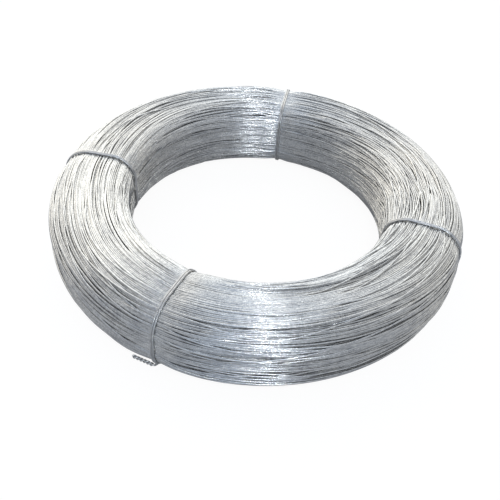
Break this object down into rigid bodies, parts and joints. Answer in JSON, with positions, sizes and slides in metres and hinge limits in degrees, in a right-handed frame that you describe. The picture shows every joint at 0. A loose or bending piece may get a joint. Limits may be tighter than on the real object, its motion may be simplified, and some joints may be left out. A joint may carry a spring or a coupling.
{
  "type": "coil of galvanized iron wire",
  "caption": "Ring-shaped coil of round galvanized iron wire with a wide bore, held by doubled wire ties round its section.",
  "frame": {"origin": "on the coil's axis, at the level the coil rests on", "axes": "+Z along the coil's axis, up; +X to the right and -Y toward the viewer, who sees the front-left tie"},
  "size_m": [0.49, 0.49, 0.092],
  "materials": {
    "coil_wire": "zinc coat, bright and slightly dull",
    "tie_wire": "zinc coat, bright"
  },
  "bodies": {
    "root": {"wire_coil": "coil_wire", "tie_front_left": "tie_wire", "tie_right": "tie_wire", "tie_back": "tie_wire", "tie_left": "tie_wire"}
  },
  "joints": []
}
